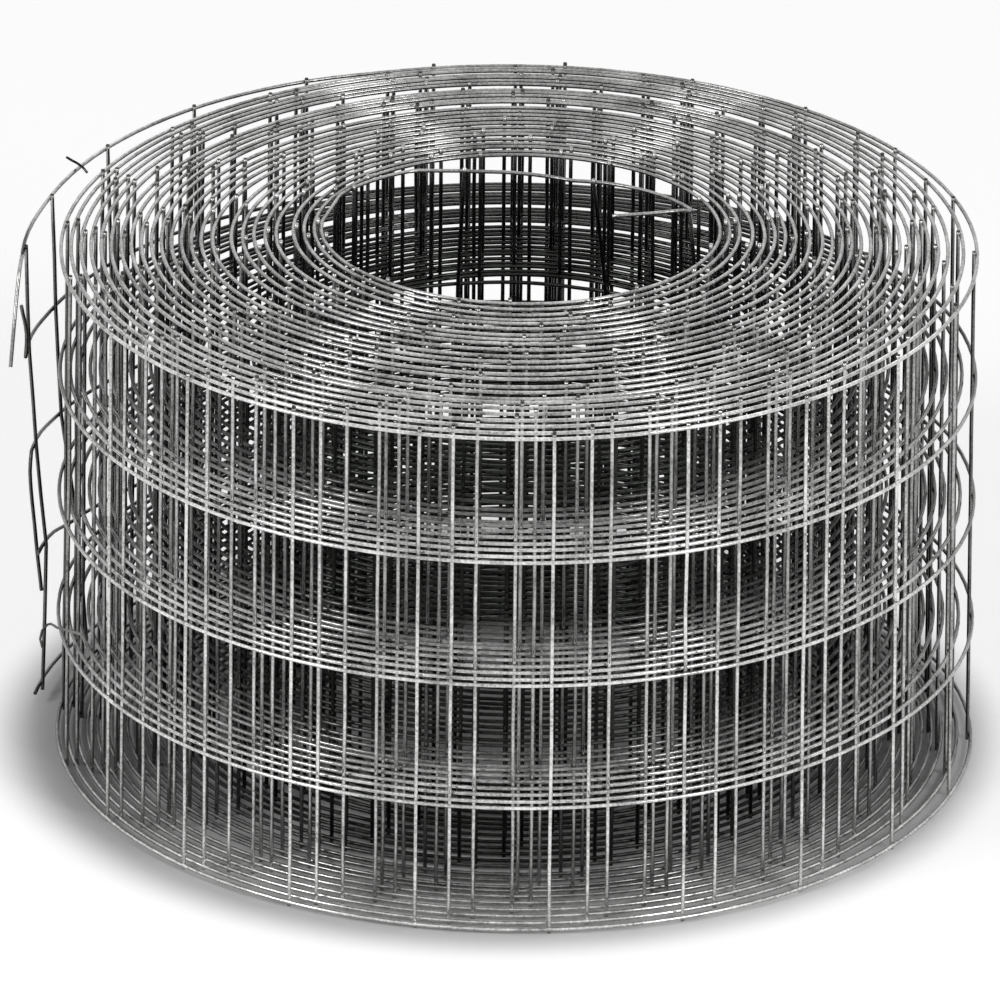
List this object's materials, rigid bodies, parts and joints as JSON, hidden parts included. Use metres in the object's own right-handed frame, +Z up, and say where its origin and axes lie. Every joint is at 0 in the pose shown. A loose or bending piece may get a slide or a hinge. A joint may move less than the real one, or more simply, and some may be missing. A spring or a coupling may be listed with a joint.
{
  "type": "roll of welded wire mesh",
  "caption": "Roll of welded steel wire mesh standing on its end, with an open bore, a loose inner end and a sprung outer end.",
  "frame": {"origin": "on the ground under the middle of the whole roll's box", "axes": "+Z up along the roll's axis; the loose outer end is at -X and the front is -Y"},
  "size_m": [0.361, 0.35, 0.204],
  "materials": {
    "steel_wire": "drawn low-carbon steel wire, uncoated and dull"
  },
  "bodies": {
    "root": {"wound_turns": "steel_wire", "outer_turn": "steel_wire", "outer_end": "steel_wire", "inner_turn": "steel_wire", "inner_end": "steel_wire"}
  },
  "joints": []
}
